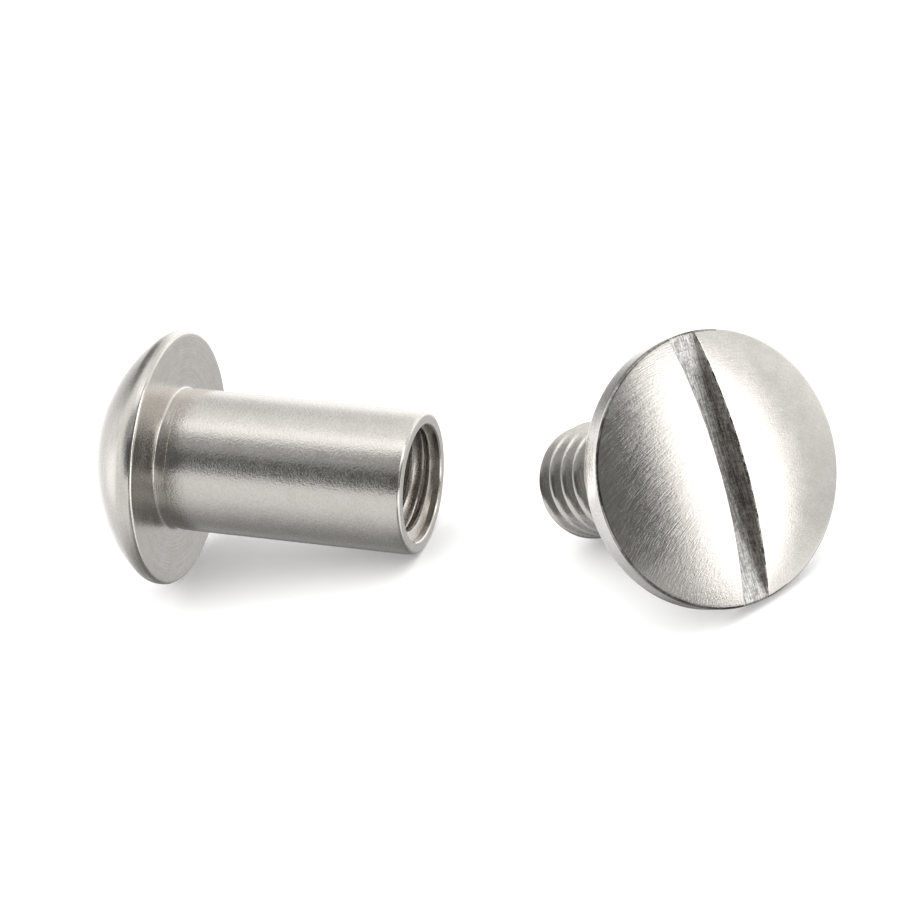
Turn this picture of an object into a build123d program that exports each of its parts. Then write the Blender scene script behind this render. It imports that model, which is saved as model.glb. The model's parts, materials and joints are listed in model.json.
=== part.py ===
from build123d import *
import os
from math import asin, atan2, cos, degrees, hypot, radians, sin, tan

# A binding barrel and its screw, in millimetres. Each is turned from one bar, about its own axis:
# z = 0 is the underside of the head, +z runs down the barrel or the shank, and the dome is at -z.
# The two are modelled apart and then laid on the floor, each on its rim and on its far end.

# the thread that joins them: 1/4 inch, 20 turns to the inch
thread_diameter = 6.35
thread_pitch = 1.27
thread_clearance = 0.05  # radial, from the crests of the screw's thread to the wall of the bore
tap_cut = 0.75           # how much wider the thread is than its tapping drill, in pitches
tip_clearance = 0.60     # from the screw's tip to the end of the thread, screwed fully home

# both heads
head_diameter = 14.29
rim_edge_radius = 0.20   # between the rim and the underside

# the barrel nut
barrel_head_height = 4.35
barrel_rim_thickness = 0.70
barrel_shoulder_radius = 1.00  # between the dome and the rim
barrel_diameter = 7.94
barrel_length = 14.29          # from the underside to the mouth
neck_width = 0.65              # the tool's relief beside the head
neck_depth = 0.05
neck_fillet = 0.12
mouth_chamfer = 0.25
mouth_countersink = 0.18
thread_stop = 0.99             # from the end of the thread to the underside of the head
drill_runout = 1.20            # how far the tapping drill runs on past the thread
drill_point_angle = 118.0

# the slotted screw
screw_head_height = 2.70
screw_rim_thickness = 1.30
screw_shoulder_radius = 0.20
shank_fillet = 0.15
tip_chamfer = 0.70
slot_width = 1.45

# how the two lie, seen from above: the way that each shank points, counted from +x,
# the turn of the slot from upright, and the step from one head to the other
barrel_heading = -27.0
screw_heading = 118.0
slot_turn = 12.0
screw_step_x = 26.47
screw_step_y = -20.82

head_radius = head_diameter / 2
barrel_radius = barrel_diameter / 2
shank_radius = thread_diameter / 2
bore_radius = shank_radius + thread_clearance
drill_radius = (thread_diameter - tap_cut * thread_pitch) / 2
thread_depth = barrel_length - thread_stop
drill_depth = thread_depth + drill_runout
drill_point = drill_radius / tan(radians(drill_point_angle / 2))
screw_length = thread_depth - tip_clearance
slot_depth = screw_head_height - screw_rim_thickness  # from the crown to the top of the rim


def turned(head_height, rim_thickness, stem):
    """Turn a domed head and the stem below it, whose profile runs from the underside to the axis."""
    rise = head_height - rim_thickness
    dome_radius = (head_radius**2 + rise**2) / (2 * rise)
    rim = (head_radius, -rim_thickness)
    dome = RadiusArc((0, -head_height), rim, -dome_radius)
    outline = Polyline(rim, (head_radius, 0), *stem, (0, -head_height))
    half = Plane.XZ * make_face(dome + outline)
    return revolve(half, Axis.Z)


def ring(solid, radius, z):
    """The round edge of that radius at that height."""
    def fits(edge):
        return abs(edge.radius - radius) < 0.001 and abs(edge.arc_center.Z - z) < 0.001
    return solid.edges().filter_by(GeomType.CIRCLE).filter_by(fits)


def soften_head(solid, rim_thickness, shoulder_radius):
    solid = fillet(ring(solid, head_radius, -rim_thickness), shoulder_radius)
    return fillet(ring(solid, head_radius, 0), rim_edge_radius)


def make_barrel():
    neck_radius = barrel_radius - neck_depth
    mouth_radius = bore_radius + mouth_countersink
    stem = [
        (neck_radius, 0),
        (neck_radius, neck_width),
        (barrel_radius, neck_width + neck_depth),
        (barrel_radius, barrel_length - mouth_chamfer),
        (barrel_radius - mouth_chamfer, barrel_length),
        (mouth_radius, barrel_length),
        (bore_radius, barrel_length - mouth_countersink),
        (bore_radius, barrel_length - thread_depth),
        (drill_radius, barrel_length - thread_depth),
        (drill_radius, barrel_length - drill_depth),
        (0, barrel_length - drill_depth - drill_point),
    ]
    barrel = turned(barrel_head_height, barrel_rim_thickness, stem)
    barrel = fillet(ring(barrel, neck_radius, 0), neck_fillet)
    return soften_head(barrel, barrel_rim_thickness, barrel_shoulder_radius)


def make_screw():
    stem = [
        (shank_radius, 0),
        (shank_radius, screw_length - tip_chamfer),
        (shank_radius - tip_chamfer, screw_length),
        (0, screw_length),
    ]
    screw = turned(screw_head_height, screw_rim_thickness, stem)
    screw = fillet(ring(screw, shank_radius, 0), shank_fillet)
    screw = soften_head(screw, screw_rim_thickness, screw_shoulder_radius)
    # the slot is sawn right across the dome
    saw = Box(head_diameter, slot_width, slot_depth, align=(Align.CENTER, Align.CENTER, Align.MIN))
    return screw - Pos(0, 0, -screw_head_height) * Rot(0, 0, slot_turn) * saw


def lay_down(piece, end_radius, end_z, heading):
    """Lay a piece down, resting on the round of its rim and on the corner at its far end."""
    reach = end_z + rim_edge_radius
    drop = head_radius - rim_edge_radius - end_radius
    tilt = atan2(drop, reach) + asin(rim_edge_radius / hypot(reach, drop))
    height = (head_radius - rim_edge_radius) * cos(tilt) - rim_edge_radius * sin(tilt)
    height += rim_edge_radius
    return Pos(0, 0, height) * Rot(0, 0, heading) * Rot(0, 90 + degrees(tilt), 0) * piece


barrel_nut = lay_down(make_barrel(), barrel_radius, barrel_length - mouth_chamfer, barrel_heading)
slotted_screw = lay_down(make_screw(), shank_radius, screw_length - tip_chamfer, screw_heading)
slotted_screw = Pos(screw_step_x, screw_step_y, 0) * slotted_screw

# the origin is on the floor, under the middle of the pair
middle = barrel_nut.bounding_box().add(slotted_screw.bounding_box()).center()
to_origin = Pos(-middle.X, -middle.Y, 0)

os.makedirs("parts", exist_ok=True)
export_step(to_origin * barrel_nut, "parts/barrel_nut.step")
export_step(to_origin * slotted_screw, "parts/slotted_screw.step")
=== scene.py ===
import bmesh
import bpy
import json
from math import atan2, cos, degrees, hypot, pi, radians, sin, sqrt
from mathutils import Matrix, Vector, noise


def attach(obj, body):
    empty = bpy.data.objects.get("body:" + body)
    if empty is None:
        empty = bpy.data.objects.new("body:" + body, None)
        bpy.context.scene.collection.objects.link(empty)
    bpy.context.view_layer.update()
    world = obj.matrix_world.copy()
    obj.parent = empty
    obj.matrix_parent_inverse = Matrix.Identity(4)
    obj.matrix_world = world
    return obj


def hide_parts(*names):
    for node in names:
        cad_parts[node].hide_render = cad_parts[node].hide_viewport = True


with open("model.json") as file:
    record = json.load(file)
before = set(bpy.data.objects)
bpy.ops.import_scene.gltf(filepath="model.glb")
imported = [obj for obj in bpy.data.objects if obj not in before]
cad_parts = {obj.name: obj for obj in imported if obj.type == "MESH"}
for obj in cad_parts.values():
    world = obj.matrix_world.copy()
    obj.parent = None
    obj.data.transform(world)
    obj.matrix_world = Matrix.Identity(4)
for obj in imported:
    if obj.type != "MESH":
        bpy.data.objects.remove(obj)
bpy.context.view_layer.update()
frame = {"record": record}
mm = 0.001


def mountNamed(name):
    for mount in frame["record"]["mounts"]:
        if mount["name"] == name:
            return Vector(mount["pos_m"]), Vector(mount["axis"]).normalized()


def layAlong(stemMount, seatMount):
    # z runs along the stem from the underside of the head, and x is the side that faces the floor
    onAxis, along = mountNamed(stemMount)
    seat = mountNamed(seatMount)[0]
    centre = onAxis + along * (seat - onAxis).dot(along)
    downSide = (along * along.z - Vector((0, 0, 1))).normalized()
    across = along.cross(downSide)
    turned = Matrix((downSide, across, along)).transposed()
    return Matrix.Translation(centre) @ turned.to_4x4()


barrelPlace = layAlong("barrel_body", "barrel_seat")
screwPlace = layAlong("screw_thread", "screw_seat")
print("places read from the frame")


# outlines are lists of (radius, z) in millimetres, and angles count from +radius towards +z

def arc(centre, radius, start, end, steps):
    points = []
    for i in range(steps + 1):
        angle = radians(start + (end - start) * i / steps)
        points.append((centre[0] + radius * cos(angle), centre[1] + radius * sin(angle)))
    return points


def line(start, end, steps):
    points = []
    for i in range(1, steps):
        t = i / steps
        points.append((start[0] + (end[0] - start[0]) * t, start[1] + (end[1] - start[1]) * t))
    return points


def domedHead(head):
    # from the crown over the dome, round the shoulder, down the rim and round its lower edge
    rim = head["diameter"] / 2
    rise = head["height"] - head["rimThickness"]
    domeRadius = (rim**2 + rise**2) / (2 * rise)
    domeCentre = domeRadius - head["height"]
    shoulder = head["shoulderRadius"]
    edge = head["rimEdgeRadius"]
    inner = rim - shoulder
    drop = sqrt((domeRadius - shoulder)**2 - inner**2)
    meet = degrees(atan2(-drop, inner))
    points = arc((0, domeCentre), domeRadius, -90, meet, head["domeSteps"])
    points += arc((inner, domeCentre - drop), shoulder, meet, 0, head["shoulderSteps"])[1:]
    points += line(points[-1], (rim, -edge), 4)
    points += arc((rim - edge, -edge), edge, 0, 90, 6)
    return points


def turnOutline(points, segments):
    bm = bmesh.new()
    verts = [bm.verts.new((r * mm, 0, z * mm)) for r, z in points]
    edges = [bm.edges.new(pair) for pair in zip(verts, verts[1:])]
    bmesh.ops.spin(bm, geom=verts + edges, cent=(0, 0, 0), axis=(0, 0, 1), dvec=(0, 0, 0),
                   angle=2 * pi, steps=segments, use_merge=True, use_duplicate=False)
    bmesh.ops.remove_doubles(bm, verts=bm.verts, dist=0.0005 * mm)
    bmesh.ops.recalc_face_normals(bm, faces=bm.faces)
    return bm


def eased(t, soft):
    # a straight ramp from 0 to 1 whose two corners are rounded
    if t <= -soft:
        return 0.0
    if t >= 1 + soft:
        return 1.0
    if t < soft:
        return (t + soft)**2 / (4 * soft)
    if t > 1 - soft:
        return 1 - (1 + soft - t)**2 / (4 * soft)
    return t


def threadedRod(thread, low, high):
    # one long outline, spun once round while it climbs one pitch, so that its ends meet
    pitch = thread["pitch"]
    flank = (pitch - thread["crestWidth"] - thread["rootWidth"]) / 2
    turns = int((high - low) / pitch) + 4
    start = low - 2 * pitch
    verts = []
    bm = bmesh.new()
    for turn in range(turns):
        for step in range(thread["steps"]):
            along = pitch * step / thread["steps"]
            fromCrest = abs(along - pitch / 2) - thread["crestWidth"] / 2
            fall = eased(fromCrest / flank, thread["rounding"])
            r = thread["crestRadius"] + (thread["rootRadius"] - thread["crestRadius"]) * fall
            verts.append(bm.verts.new((r * mm, 0, (start + turn * pitch + along) * mm)))
    edges = [bm.edges.new(pair) for pair in zip(verts, verts[1:])]
    segments = thread["segments"]
    bmesh.ops.spin(bm, geom=verts + edges, cent=(0, 0, 0), axis=(0, 0, 1), angle=2 * pi,
                   dvec=(0, 0, pitch * mm / segments), steps=segments, use_duplicate=False)
    bmesh.ops.remove_doubles(bm, verts=bm.verts, dist=0.001 * mm)
    for z, facing in ((low, -1), (high, 1)):
        everything = bm.verts[:] + bm.edges[:] + bm.faces[:]
        bmesh.ops.bisect_plane(bm, geom=everything, dist=0.0001 * mm, plane_co=(0, 0, z * mm),
                               plane_no=(0, 0, facing), clear_outer=True)
    bmesh.ops.holes_fill(bm, edges=bm.edges, sides=0)
    bmesh.ops.recalc_face_normals(bm, faces=bm.faces)
    return bm


def toObject(bm, name):
    mesh = bpy.data.meshes.new(name)
    bm.to_mesh(mesh)
    bm.free()
    obj = bpy.data.objects.new(name, mesh)
    bpy.context.collection.objects.link(obj)
    return obj


def carve(target, tool, operation):
    cut = target.modifiers.new(operation.lower(), "BOOLEAN")
    cut.operation = operation
    cut.solver = "EXACT"
    cut.object = tool
    shape = bpy.data.meshes.new_from_object(target.evaluated_get(bpy.context.evaluated_depsgraph_get()))
    target.modifiers.clear()
    target.data = shape
    bpy.data.objects.remove(tool)


barrel = {
    "head": {"diameter": 14.27, "height": 4.35, "rimThickness": 0.70, "shoulderRadius": 1.00,
             "rimEdgeRadius": 0.20, "domeSteps": 40, "shoulderSteps": 14},
    "radius": 3.97, "length": 14.29, "segments": 192,
    "neckWidth": 0.65, "neckDepth": 0.05, "neckFillet": 0.12,
    "mouthChamfer": 0.25, "mouthRadius": 3.31, "countersink": 0.07, "counterbore": 0.36, "leadIn": 0.10,
    "boreRadius": 2.699, "threadDepth": 13.3, "drillDepth": 14.5, "drillPoint": 1.62,
}
tap = {"pitch": 1.27, "crestRadius": 3.225, "rootRadius": 2.70, "crestWidth": 0.22, "rootWidth": 0.22,
       "rounding": 0.12, "steps": 22, "segments": 160}


def makeBarrel():
    b = barrel
    neck = b["radius"] - b["neckDepth"]
    fillet = b["neckFillet"]
    mouth = b["length"]
    bore = b["boreRadius"]
    points = domedHead(b["head"])
    points += line(points[-1], (neck + fillet, 0), 12)
    points += arc((neck + fillet, fillet), fillet, 270, 180, 5)
    points += [(neck, b["neckWidth"]), (b["radius"], b["neckWidth"] + b["neckDepth"])]
    points += line(points[-1], (b["radius"], mouth - b["mouthChamfer"]), 40)
    # the corner that the barrel lies on stays, and the round begins past it
    points += arc((b["radius"] - b["mouthChamfer"], mouth - b["mouthChamfer"]), b["mouthChamfer"], 28, 90, 8)
    points += [(b["mouthRadius"], mouth), (b["mouthRadius"] - b["countersink"], mouth - b["countersink"])]
    shelf = mouth - b["countersink"] - b["counterbore"]
    points += [(points[-1][0], shelf), (bore + 0.15, shelf - b["leadIn"])]
    points += [(bore - 0.1, shelf - 2 * b["leadIn"])]
    points += line(points[-1], (bore - 0.1, mouth - b["threadDepth"]), 30)
    points += [(bore - 0.1, mouth - b["threadDepth"]), (bore, mouth - b["threadDepth"] - 0.1)]
    points += [(bore, mouth - b["drillDepth"]), (0, mouth - b["drillDepth"] - b["drillPoint"])]
    obj = toObject(turnOutline(points, b["segments"]), "barrelNut")
    tool = toObject(threadedRod(tap, mouth - b["threadDepth"], mouth + 1), "tap")
    carve(obj, tool, "DIFFERENCE")
    return obj


screw = {
    "head": {"diameter": 14.27, "height": 2.70, "rimThickness": 1.30, "shoulderRadius": 0.20,
             "rimEdgeRadius": 0.20, "domeSteps": 56, "shoulderSteps": 6},
    "segments": 320, "radius": 3.175, "length": 12.7, "tipChamfer": 0.70, "rootFillet": 0.15,
    "slotWidth": 1.45, "slotTurn": 12.0, "slotEdge": 0.07,
    "domeCurve": 37.86,  # twice the dome's radius
    "lipPaintDepth": 0.07,  # how far the lip's painted shade and white glints reach down the wall
}
saw = {"along": 300, "across": 26, "levels": 28, "step": 0.08, "floorMarks": 0.022, "wallMarks": 0.010}
shankThread = {"pitch": 1.27, "crestRadius": 3.165, "rootRadius": 2.42, "crestWidth": 0.17,
               "rootWidth": 0.26, "rounding": 0.30, "steps": 20, "segments": 160}


def rollSlotEdges(bm, s):
    # lines of new vertices beside each wall, sunk so that the dome rolls over into the slot
    half = s["slotWidth"] / 2
    roll = s["slotEdge"]
    for side in (-1, 1):
        for share in (1.0, 0.6, 0.3, 0.1, 0.0):
            everything = bm.verts[:] + bm.edges[:] + bm.faces[:]
            bmesh.ops.bisect_plane(bm, geom=everything, dist=0.0002 * mm,
                                   plane_co=(0, side * (half + roll * share) * mm, 0), plane_no=(0, 1, 0))
    for v in bm.verts:
        inwards = half + roll - abs(v.co.y) / mm
        if inwards > 0.0005 and v.co.z < -s["head"]["rimThickness"] * mm:
            depth = min(inwards, roll)
            wander = 1 + 0.5 * noise.noise(Vector((v.co.x * 2600, v.co.y * 900, 7)))
            v.co.z += (roll - sqrt(max(roll**2 - depth**2, 0))) * wander * mm


def sawBlade(s):
    # the space that the saw leaves, with the marks of its teeth along the floor and the walls
    long = s["head"]["diameter"] + 1
    bm = bmesh.new()
    bmesh.ops.create_grid(bm, x_segments=saw["along"], y_segments=saw["across"], size=0.5)
    bmesh.ops.scale(bm, vec=(long * mm, s["slotWidth"] * mm, 1), verts=bm.verts)
    bmesh.ops.translate(bm, vec=(0, 0, -s["head"]["rimThickness"] * mm), verts=bm.verts)
    rim = [e for e in bm.edges if e.is_boundary]
    for level in range(saw["levels"]):
        made = bmesh.ops.extrude_edge_only(bm, edges=rim)
        verts = [v for v in made["geom"] if isinstance(v, bmesh.types.BMVert)]
        bmesh.ops.translate(bm, vec=(0, 0, -saw["step"] * mm), verts=verts)
        rim = [e for e in made["geom"] if isinstance(e, bmesh.types.BMEdge) and e.is_boundary]
    half = s["slotWidth"] / 2 * mm
    for v in bm.verts:
        p = v.co / mm
        streak = noise.noise(Vector((p.x * 0.9, p.y * 9, 3))) * 0.6
        streak += noise.noise(Vector((p.x * 3.1, p.y * 17, 11))) * 0.4
        wall = noise.noise(Vector((p.x * 0.7, p.z * 8, 23)))
        atWall = abs(abs(v.co.y) - half) < 0.01 * mm
        if not atWall:
            v.co.z += saw["floorMarks"] * streak * mm
        else:
            v.co.y += saw["wallMarks"] * wall * mm
    bmesh.ops.holes_fill(bm, edges=bm.edges, sides=0)
    bmesh.ops.recalc_face_normals(bm, faces=bm.faces)
    return bm


def makeScrew():
    s = screw
    core = shankThread["rootRadius"] - 0.3
    points = domedHead(s["head"])
    points += line(points[-1], (core, 0), 14)
    points += [(core, 0), (core, s["length"] - 1.5), (0, s["length"] - 1.5)]
    bm = turnOutline(points, s["segments"])
    rollSlotEdges(bm, s)
    obj = toObject(bm, "slottedScrew")
    carve(obj, toObject(sawBlade(s), "saw"), "DIFFERENCE")
    rod = toObject(threadedRod(shankThread, -0.30, s["length"] + 1), "rod")
    blank = [(0, -0.30), (s["radius"] + s["rootFillet"], -0.30), (s["radius"] + s["rootFillet"], 0)]
    blank += arc((s["radius"] + s["rootFillet"], s["rootFillet"]), s["rootFillet"], 270, 180, 5)
    blank += [(s["radius"], s["length"] - s["tipChamfer"]), (s["radius"] - s["tipChamfer"], s["length"])]
    blank += [(0, s["length"])]
    carve(rod, toObject(turnOutline(blank, s["segments"]), "blank"), "INTERSECT")
    carve(obj, rod, "UNION")
    return obj


barrelNut = makeBarrel()
print("barrel nut turned and tapped:", len(barrelNut.data.polygons), "faces")
slottedScrew = makeScrew()
print("screw turned, threaded and slotted:", len(slottedScrew.data.polygons), "faces")


def mathNode(tree, operation, *values):
    made = tree.nodes.new("ShaderNodeMath")
    made.operation = operation
    for i, value in enumerate(values):
        if isinstance(value, (int, float)):
            made.inputs[i].default_value = value
        else:
            tree.links.new(value, made.inputs[i])
    return made.outputs[0]


def vectorNode(tree, operation, *values):
    made = tree.nodes.new("ShaderNodeVectorMath")
    made.operation = operation
    for i, value in enumerate(values):
        if isinstance(value, (tuple, Vector)):
            made.inputs[i].default_value = value
        else:
            tree.links.new(value, made.inputs[i])
    return made.outputs["Value"] if operation in ("LENGTH", "DOT_PRODUCT") else made.outputs["Vector"]


def rampNode(tree, value, low, high, start, end):
    made = tree.nodes.new("ShaderNodeMapRange")
    made.interpolation_type = "SMOOTHSTEP"
    made.inputs["From Min"].default_value = low
    made.inputs["From Max"].default_value = high
    made.inputs["To Min"].default_value = start
    made.inputs["To Max"].default_value = end
    tree.links.new(value, made.inputs["Value"])
    return made.outputs["Result"]


def localPoint(tree, place):
    # millimetres along the piece's own directions
    mapping = tree.nodes.new("ShaderNodeMapping")
    mapping.vector_type = "TEXTURE"
    mapping.inputs["Location"].default_value = place.translation
    mapping.inputs["Rotation"].default_value = place.to_euler()
    mapping.inputs["Scale"].default_value = (mm, mm, mm)
    tree.links.new(tree.nodes.new("ShaderNodeTexCoord").outputs["Object"], mapping.inputs["Vector"])
    return mapping.outputs["Vector"]


def roundStrokes(tree, point, marks):
    # a space that is stretched into strokes round a centre
    fromCentre = vectorNode(tree, "SUBTRACT", point, (*marks["centre"], 0.0))
    flat = vectorNode(tree, "MULTIPLY", fromCentre, (1.0, 1.0, 0.0))
    around = vectorNode(tree, "MULTIPLY", vectorNode(tree, "NORMALIZE", flat), (marks["around"],) * 3)
    outwards = mathNode(tree, "MULTIPLY", vectorNode(tree, "LENGTH", flat), marks["outwards"])
    upwards = vectorNode(tree, "DOT_PRODUCT", point, (0.0, 0.0, marks["upwards"]))
    lift = tree.nodes.new("ShaderNodeCombineXYZ")
    tree.links.new(mathNode(tree, "ADD", outwards, upwards), lift.inputs["Z"])
    return vectorNode(tree, "ADD", around, lift.outputs["Vector"])


def pattern(tree, point, marks):
    if "centre" in marks:
        space = roundStrokes(tree, point, marks)
    else:
        space = vectorNode(tree, "MULTIPLY", point, marks["perMm"])
    made = tree.nodes.new("ShaderNodeTexNoise")
    made.inputs["Scale"].default_value = 1
    made.inputs["Detail"].default_value = marks["detail"]
    made.inputs["Roughness"].default_value = 0.6
    tree.links.new(space, made.inputs["Vector"])
    if "fade" not in marks:
        return made.outputs["Fac"]
    across = vectorNode(tree, "DOT_PRODUCT", point, (0.0, 1.0, 0.0))
    share = rampNode(tree, across, *marks["fade"], 0.3, 1)
    return mathNode(tree, "MULTIPLY_ADD", mathNode(tree, "SUBTRACT", made.outputs["Fac"], 0.5), share, 0.5)


def weighed(tree, patterns, marks, what):
    # the sum of the patterns, each counted from its middle and times its own share
    total = None
    for value, mark in zip(patterns, marks):
        if mark[what]:
            share = mathNode(tree, "MULTIPLY", mathNode(tree, "SUBTRACT", value, 0.5), mark[what])
            total = mathNode(tree, "ADD", total, share) if total else share
    return total


def steelFinish(name, place, look):
    mat = bpy.data.materials.new(name)
    mat.use_nodes = True
    tree = mat.node_tree
    bsdf = tree.nodes["Principled BSDF"]
    bsdf.inputs["Metallic"].default_value = 1
    point = localPoint(tree, place)
    marks = look["marks"]
    patterns = [pattern(tree, point, mark) for mark in marks]

    tone = tree.nodes.new("ShaderNodeMix")
    tone.data_type = "RGBA"
    tone.inputs[6].default_value = (*look["dark"], 1)
    tone.inputs[7].default_value = (*look["light"], 1)
    tree.links.new(rampNode(tree, weighed(tree, patterns, marks, "tone"), -0.25, 0.25, 0, 1), tone.inputs[0])
    tree.links.new(tone.outputs[2], bsdf.inputs["Base Color"])

    low, high = look["roughness"]
    gloss = rampNode(tree, weighed(tree, patterns, marks, "gloss"), -0.25, 0.25, low, high)
    tree.links.new(gloss, bsdf.inputs["Roughness"])

    bump = tree.nodes.new("ShaderNodeBump")
    bump.inputs["Distance"].default_value = mm
    tree.links.new(weighed(tree, patterns, marks, "depth"), bump.inputs["Height"])
    tree.links.new(bump.outputs["Normal"], bsdf.inputs["Normal"])
    return mat


# a pattern's marks per millimetre and how many run round, its depth in millimetres,
# and its share in the tone and in the roughness
axis = (0.0, 0.0)
steel = {"dark": (0.57, 0.542, 0.505), "light": (0.68, 0.657, 0.622)}
clouds = {"perMm": (0.9, 0.9, 0.9), "detail": 3, "depth": 0.0, "tone": 0.5, "gloss": 0.5}
grain = {"perMm": (9.0, 9.0, 9.0), "detail": 3, "depth": 0.005, "tone": 0.9, "gloss": 0.6}


def turnedMarks(around, outwards, upwards, depth):
    # what the tool leaves on a turned face: fine rings about the axis
    return {"centre": axis, "around": around, "outwards": outwards, "upwards": upwards, "detail": 3,
            "depth": depth, "tone": 0.7, "gloss": 0.5}


barrelFinishes = {
    "satinDome": {**steel, "roughness": (0.18, 0.30), "marks": [
        clouds, grain, turnedMarks(7.0, 6.0, 3.0, 0.006)]},
    "rimEdge": {**steel, "roughness": (0.10, 0.20), "marks": [
        clouds, grain, turnedMarks(5.0, 2.0, 12.0, 0.003)]},
    "facedUnderside": {**steel, "roughness": (0.18, 0.30), "marks": [
        clouds, grain, turnedMarks(2.0, 9.0, 0.0, 0.008)]},
    "turnedNeck": {**steel, "roughness": (0.14, 0.24), "marks": [
        clouds, grain, turnedMarks(1.5, 0.0, 11.0, 0.016)]},
    "tumbledBody": {**steel, "roughness": (0.16, 0.28), "marks": [
        clouds, {**grain, "depth": 0.009}, turnedMarks(20.0, 0.0, 8.0, 0.009)]},
    "facedMouth": {**steel, "roughness": (0.12, 0.22), "marks": [
        clouds, grain, turnedMarks(3.0, 12.0, 4.0, 0.005)]},
    # painted shade: the inside of the bore is coloured darker than the steel outside
    "tappedBorePaintedShade": {"dark": (0.44, 0.41, 0.375), "light": (0.62, 0.59, 0.55),
                   "roughness": (0.22, 0.34), "marks": [
        clouds, grain, turnedMarks(4.0, 9.0, 9.0, 0.005)]},
    # painted highlight: the crests of the tapped thread are coloured lighter than the steel so that each
    # shows as a bright line
    "threadCrestsPaintedHighlight": {"dark": (0.62, 0.59, 0.55), "light": (0.84, 0.82, 0.79),
                     "roughness": (0.14, 0.24), "marks": [
        clouds, grain, turnedMarks(4.0, 9.0, 9.0, 0.004)]},
}
slotEnd = (7.5, 0.0)  # the dome's strokes are arcs about the lower end of the slot


def handStrokes(around, outwards, depth):
    return {"centre": slotEnd, "around": around, "outwards": outwards, "upwards": 0.0, "detail": 2,
            "depth": depth, "tone": 0.8, "gloss": 0.6, "fade": (-0.5, 1.5)}


sawMarks = {"perMm": (1.1, 13.0, 9.0), "detail": 4, "depth": 0.05, "tone": 1.6, "gloss": 0.8}
chatter = {"perMm": (6.0, 1.5, 1.5), "detail": 3, "depth": 0.012, "tone": 0.6, "gloss": 0.3}
screwFinishes = {
    "brushedDome": {**steel, "roughness": (0.14, 0.24), "marks": [
        clouds, {**grain, "tone": 0.5}, handStrokes(11.0, 14.0, 0.010), handStrokes(24.0, 30.0, 0.005)]},
    # painted highlight: the rim is coloured much lighter than the steel so that it shows as a white band
    "turnedRimPaintedHighlight": {"dark": (0.74, 0.71, 0.68), "light": (0.88, 0.86, 0.83),
                  "roughness": (0.08, 0.15), "marks": [
        clouds, grain, turnedMarks(4.0, 4.0, 12.0, 0.004)]},
    "facedUnderside": {**steel, "roughness": (0.18, 0.32), "marks": [
        clouds, grain, turnedMarks(2.0, 9.0, 0.0, 0.007)]},
    # painted shade: the thread's roots are coloured near black, so dark lines run between the crests
    "threadRootsPaintedShade": {"dark": (0.16, 0.145, 0.13), "light": (0.36, 0.335, 0.31),
                    "roughness": (0.16, 0.28), "marks": [
        clouds, grain, turnedMarks(5.0, 9.0, 9.0, 0.005)]},
    "rolledThread": {**steel, "roughness": (0.12, 0.22), "marks": [
        clouds, grain, turnedMarks(5.0, 9.0, 9.0, 0.005)]},
    # painted dark reflection: a near-black line round the dome's shoulder, laid on one side of the head only
    "domeShoulderPaintedDarkReflection": {"dark": (0.12, 0.11, 0.10), "light": (0.42, 0.40, 0.38),
                 "roughness": (0.10, 0.18), "marks": [
        {**clouds, "tone": 1.2}, {**grain, "depth": 0.003}]},
    # painted shade and painted glints: a black line broken by white dashes, laid only on the slot's lip on
    # the y < 0 side
    "slotLipPaintedShadeAndGlints": {"dark": (0.10, 0.085, 0.07), "light": (0.90, 0.87, 0.83),
                "roughness": (0.20, 0.35), "marks": [
        {"perMm": (3.0, 0.5, 0.5), "detail": 3, "depth": 0.003, "tone": 2.0, "gloss": 0.6}]},
    # saw marks on the slot's floor, painted from darker than steel (painted shade in the slot) up to near
    # white (painted glints)
    "sawnFloorMarksPaintedShadeAndGlints": {"dark": (0.38, 0.365, 0.35), "light": (0.95, 0.93, 0.90),
                  "roughness": (0.36, 0.60), "marks": [
        clouds, grain, sawMarks, chatter]},
    # painted shade: the slot's walls are a darker copy of the sawn floor
    "sawnWallsPaintedShade": {"dark": (0.26, 0.245, 0.23), "light": (0.76, 0.74, 0.71),
                  "roughness": (0.30, 0.50), "marks": [
        clouds, grain, sawMarks, {**chatter, "perMm": (9.0, 1.0, 1.0)}]},
}


def barrelFinishAt(face):
    c = face.center / mm
    r = hypot(c.x, c.y)
    if c.z < 0.35 - barrel["head"]["rimThickness"]:
        # the drilled end inside the head gets the bore's painted shade too
        return "satinDome" if r > 3.3 or face.normal.z < 0 else "tappedBorePaintedShade"
    if r < barrel["mouthRadius"]:
        if c.z > barrel["length"] - barrel["countersink"] - 0.9 * barrel["counterbore"]:
            return "facedMouth"
        # thin bright lines of painted highlight on the crests of the tapped thread
        onCrest = min(r - tap["rootRadius"], tap["crestRadius"] - r) < 0.04 and abs(face.normal.z) < 0.5
        return "threadCrestsPaintedHighlight" if onCrest else "tappedBorePaintedShade"
    if r > barrel["head"]["diameter"] / 2 - 0.3:
        return "rimEdge"
    if c.z < 0.02:
        return "facedUnderside"
    if c.z < barrel["neckWidth"] + barrel["neckDepth"]:
        return "turnedNeck"
    if c.z > barrel["length"] - barrel["mouthChamfer"] * 1.05:
        return "facedMouth"
    return "tumbledBody"


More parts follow.
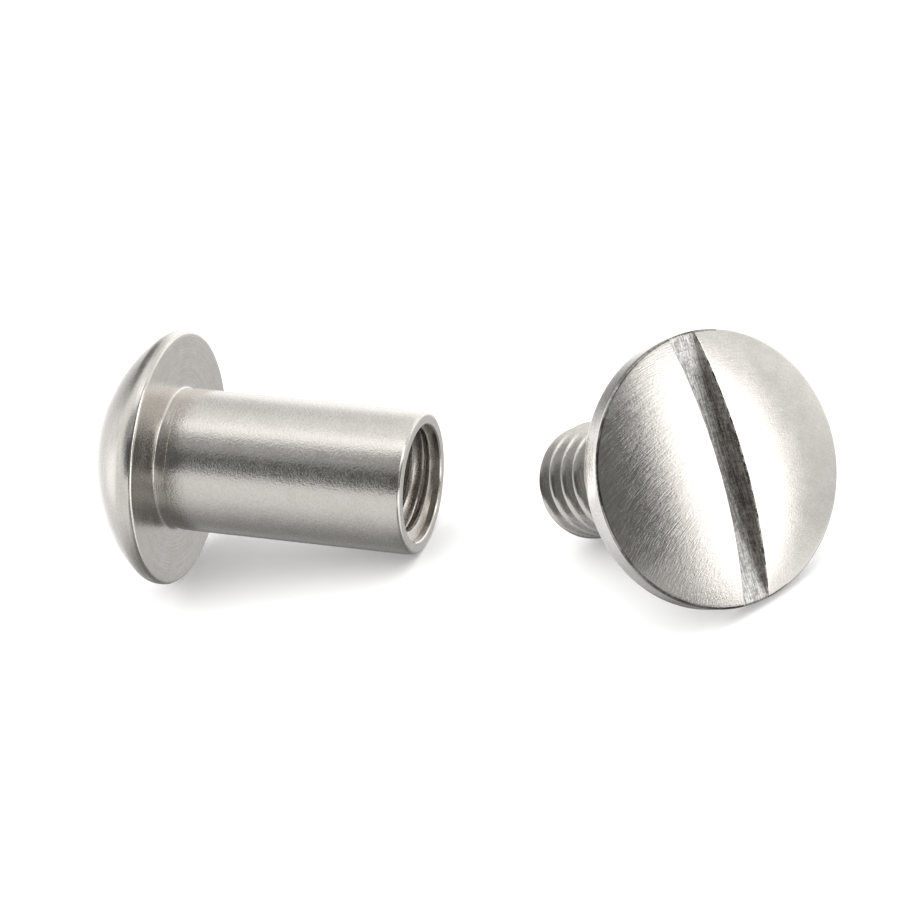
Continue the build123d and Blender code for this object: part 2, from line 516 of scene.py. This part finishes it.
def screwFinishAt(face):
    c = face.center / mm
    r = hypot(c.x, c.y)
    rimTop = -screw["head"]["rimThickness"]
    inSlot = abs(c.y) < screw["slotWidth"] / 2 + 0.02
    if inSlot and c.z < rimTop + 0.05 and r < screw["head"]["diameter"] / 2 - 0.01:
        # the slot's floor, with its saw marks in painted shade and painted glints
        if abs(face.normal.y) < 0.7:
            return "sawnFloorMarksPaintedShadeAndGlints"
        # the slot's walls are in painted shade
        sunk = c.z + screw["head"]["height"] - r**2 / screw["domeCurve"]  # how far below the dome
        # the lip's painted shade and glints go only on the wall at y < 0
        return "slotLipPaintedShadeAndGlints" if c.y < 0 and sunk < screw["lipPaintDepth"] else "sawnWallsPaintedShade"
    rim = screw["head"]["diameter"] / 2
    # and on the rolled edge beside that wall
    if c.y < 0 and abs(c.y) < screw["slotWidth"] / 2 + screw["slotEdge"] * 0.8 and c.z < rimTop - 0.1:
        return "slotLipPaintedShadeAndGlints"
    # the painted dark reflection round the shoulder, only where y is above -2 mm
    if rim - 0.125 < r < rim - 0.02 and c.z < rimTop + 0.12 and c.y > -2:
        return "domeShoulderPaintedDarkReflection"
    if c.z < rimTop + 0.02:
        return "brushedDome"
    # the rim's painted highlight
    if r > screw["head"]["diameter"] / 2 - 0.25:
        return "turnedRimPaintedHighlight"
    if c.z < 0.02 and r > screw["radius"]:
        return "facedUnderside"
    # painted shade in the thread's roots
    if r < shankThread["rootRadius"] + 0.16 and c.z < screw["length"] - 0.05:
        return "threadRootsPaintedShade"
    return "rolledThread"


def finishPiece(obj, place, finishes, finishAt, node):
    mesh = obj.data
    mesh.materials.clear()
    order = list(finishes)
    for name in order:
        mesh.materials.append(steelFinish(name, place, finishes[name]))
    for face in mesh.polygons:
        face.material_index = order.index(finishAt(face))
    mesh.transform(place)
    mesh.shade_smooth()
    mesh.set_sharp_from_angle(angle=radians(28))
    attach(obj, "root")
    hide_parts(node)


turnedSlot = Matrix.Rotation(radians(screw["slotTurn"]), 4, "Z")
finishPiece(barrelNut, barrelPlace, barrelFinishes, barrelFinishAt, "barrel_nut")
finishPiece(slottedScrew, screwPlace @ turnedSlot, screwFinishes, screwFinishAt,
            "slotted_screw")
print("finishes on")


paper = {"radius": 1.2, "segments": 96, "albedo": (0.9, 0.9, 0.9, 1), "glow": 0.08}


def makeFloor():
    bm = bmesh.new()
    bmesh.ops.create_circle(bm, cap_ends=True, radius=paper["radius"], segments=paper["segments"])
    floor = toObject(bm, "studioFloor")
    mat = bpy.data.materials.new("palePaper")
    mat.use_nodes = True
    bsdf = mat.node_tree.nodes["Principled BSDF"]
    bsdf.inputs["Base Color"].default_value = paper["albedo"]
    bsdf.inputs["Roughness"].default_value = 1
    bsdf.inputs["Specular IOR Level"].default_value = 0
    bsdf.inputs["Emission Color"].default_value = (1, 1, 1, 1)
    bsdf.inputs["Emission Strength"].default_value = paper["glow"]
    floor.data.materials.append(mat)
    floor.visible_glossy = False  # the steel mirrors the studio and not the paper


studio = {
    "tent": {-90: 0.24, -63: 0.27, -57: 0.31, -50: 0.42, -45: 0.50, -39: 0.62, -33: 0.72, -27: 0.82,
             -15: 0.95, 0: 0.98, 20: 1.05, 72: 1.10, 80: 1.35, 90: 1.45},  # level at each elevation
    "panels": [  # azimuth 0 is where the camera stands, and 90 is the right
        {"azimuth": -5, "elevation": 60, "wide": 54, "high": 18, "corner": 5, "edge": 0.30, "level": 0.45},
        {"azimuth": -28, "elevation": 32, "wide": 20, "high": 17, "corner": 5, "edge": 0.22, "level": 0.10},
        {"azimuth": 15, "elevation": 20, "wide": 28, "high": 31, "lean": -20,
         "corner": 4, "edge": 0.22, "level": 0.17},
        {"azimuth": 20, "elevation": -33, "wide": 16, "high": 12, "corner": 4, "edge": 0.35, "level": 0.30},
        {"azimuth": -5, "elevation": -22, "wide": 15, "high": 13, "corner": 2, "edge": 0.45, "level": 0.40},
        {"azimuth": 56, "elevation": 4, "wide": 21, "high": 43, "lean": -8,
         "corner": 2, "edge": 0.14, "level": 2.2},
        {"azimuth": 86, "elevation": -42, "wide": 24, "high": 12, "corner": 2, "edge": 0.40, "level": 1.3},
        {"azimuth": 140, "elevation": 0, "wide": 40, "high": 26, "corner": 2, "edge": 0.30, "level": 1.5},
        {"azimuth": -162, "elevation": 29, "wide": 20, "high": 24, "corner": 3, "edge": 0.40, "level": 0.25},
        {"azimuth": -162, "elevation": -20, "wide": 14, "high": 9, "corner": 2, "edge": 0.50, "level": 1.6},
        {"azimuth": -174, "elevation": -43, "wide": 12, "high": 11, "corner": 2, "edge": 0.35, "level": 0.22},
        {"azimuth": 177, "elevation": -25, "wide": 9, "high": 5, "corner": 2, "edge": 0.40, "level": 1.5},
        {"azimuth": -127, "elevation": -3, "wide": 6, "high": 10, "corner": 2, "edge": 0.40, "level": 1.7},
    ],
    "floorLow": 0.51, "floorHigh": 1.86,  # the soft dome that lights the paper, at the sides and overhead
}


def makeWorld():
    world = bpy.data.worlds.new("studio")
    bpy.context.scene.world = world
    world.use_nodes = True
    tree = world.node_tree
    looking = tree.nodes.new("ShaderNodeTexCoord").outputs["Generated"]
    height = vectorNode(tree, "DOT_PRODUCT", looking, (0.0, 0.0, 1.0))

    ramp = tree.nodes.new("ShaderNodeValToRGB")
    stops = ramp.color_ramp.elements
    for elevation, share in studio["tent"].items():
        stop = stops.new(sin(radians(elevation)) / 2 + 0.5)
        stop.color = (share / 2, share / 2, share / 2, 1)
    stops.remove(stops[-1])
    stops.remove(stops[0])
    tree.links.new(mathNode(tree, "MULTIPLY_ADD", height, 0.5, 0.5), ramp.inputs[0])
    level = mathNode(tree, "MULTIPLY", ramp.outputs[0], 2)

    for panel in studio["panels"]:
        turn = Matrix.Rotation(radians(panel["azimuth"]), 3, "Z")
        tip = Matrix.Rotation(radians(-panel["elevation"]), 3, "X")
        facing = turn @ tip @ Vector((0, -1, 0))
        side = turn @ Vector((1, 0, 0))
        up = side.cross(-facing)
        lean = Matrix.Rotation(radians(panel.get("lean", 0)), 3, facing)
        side, up = lean @ side, lean @ up
        ahead = vectorNode(tree, "DOT_PRODUCT", looking, facing)
        sideways = mathNode(tree, "ARCTAN2", vectorNode(tree, "DOT_PRODUCT", looking, side), ahead)
        upwards = mathNode(tree, "ARCSINE", vectorNode(tree, "DOT_PRODUCT", looking, up))
        far = None  # 1 along the panel's outline, whose corners may be round or square
        for angle, half in ((sideways, panel["wide"]), (upwards, panel["high"])):
            part = mathNode(tree, "ABSOLUTE", mathNode(tree, "DIVIDE", angle, radians(half)))
            part = mathNode(tree, "POWER", part, panel["corner"])
            far = mathNode(tree, "ADD", far, part) if far else part
        far = mathNode(tree, "POWER", far, 1 / panel["corner"])
        mix = tree.nodes.new("ShaderNodeMix")
        tree.links.new(rampNode(tree, far, 1 + panel["edge"], 1 - panel["edge"], 0, 1), mix.inputs[0])
        tree.links.new(level, mix.inputs[2])
        mix.inputs[3].default_value = panel["level"]
        level = mix.outputs[0]

    soft = mathNode(tree, "MULTIPLY_ADD", mathNode(tree, "MAXIMUM", height, 0), studio["floorHigh"],
                    studio["floorLow"])
    choose = tree.nodes.new("ShaderNodeMix")
    tree.links.new(tree.nodes.new("ShaderNodeLightPath").outputs["Is Diffuse Ray"], choose.inputs[0])
    tree.links.new(level, choose.inputs[2])
    tree.links.new(soft, choose.inputs[3])
    tree.links.new(choose.outputs[0], tree.nodes["Background"].inputs["Color"])


camera = {"aim": (14.442, 0.0, -4.854), "distance": 210.0, "elevation": 26.40, "roll": -18.44, "lens": 148.6}


def makeCamera():
    # the aim is counted from the middle of the barrel head's underside
    tip = radians(camera["elevation"])
    roll = radians(camera["roll"])
    ahead = Vector((0, cos(tip), -sin(tip)))
    level = Vector((1, 0, 0))
    above = Vector((0, sin(tip), cos(tip)))
    right = cos(roll) * level + sin(roll) * above
    up = cos(roll) * above - sin(roll) * level
    place = barrelPlace.translation + (Vector(camera["aim"]) - camera["distance"] * ahead) * mm
    data = bpy.data.cameras.new("camera")
    data.lens = camera["lens"]
    data.sensor_width = 36
    data.clip_start = 0.01
    obj = bpy.data.objects.new("camera", data)
    turned = Matrix((right, up, -ahead)).transposed().to_4x4()
    obj.matrix_world = Matrix.Translation(place) @ turned
    bpy.context.collection.objects.link(obj)
    bpy.context.scene.camera = obj


makeFloor()
makeWorld()
makeCamera()
bpy.context.scene.view_settings.view_transform = "Standard"
print("floor, light and camera set")
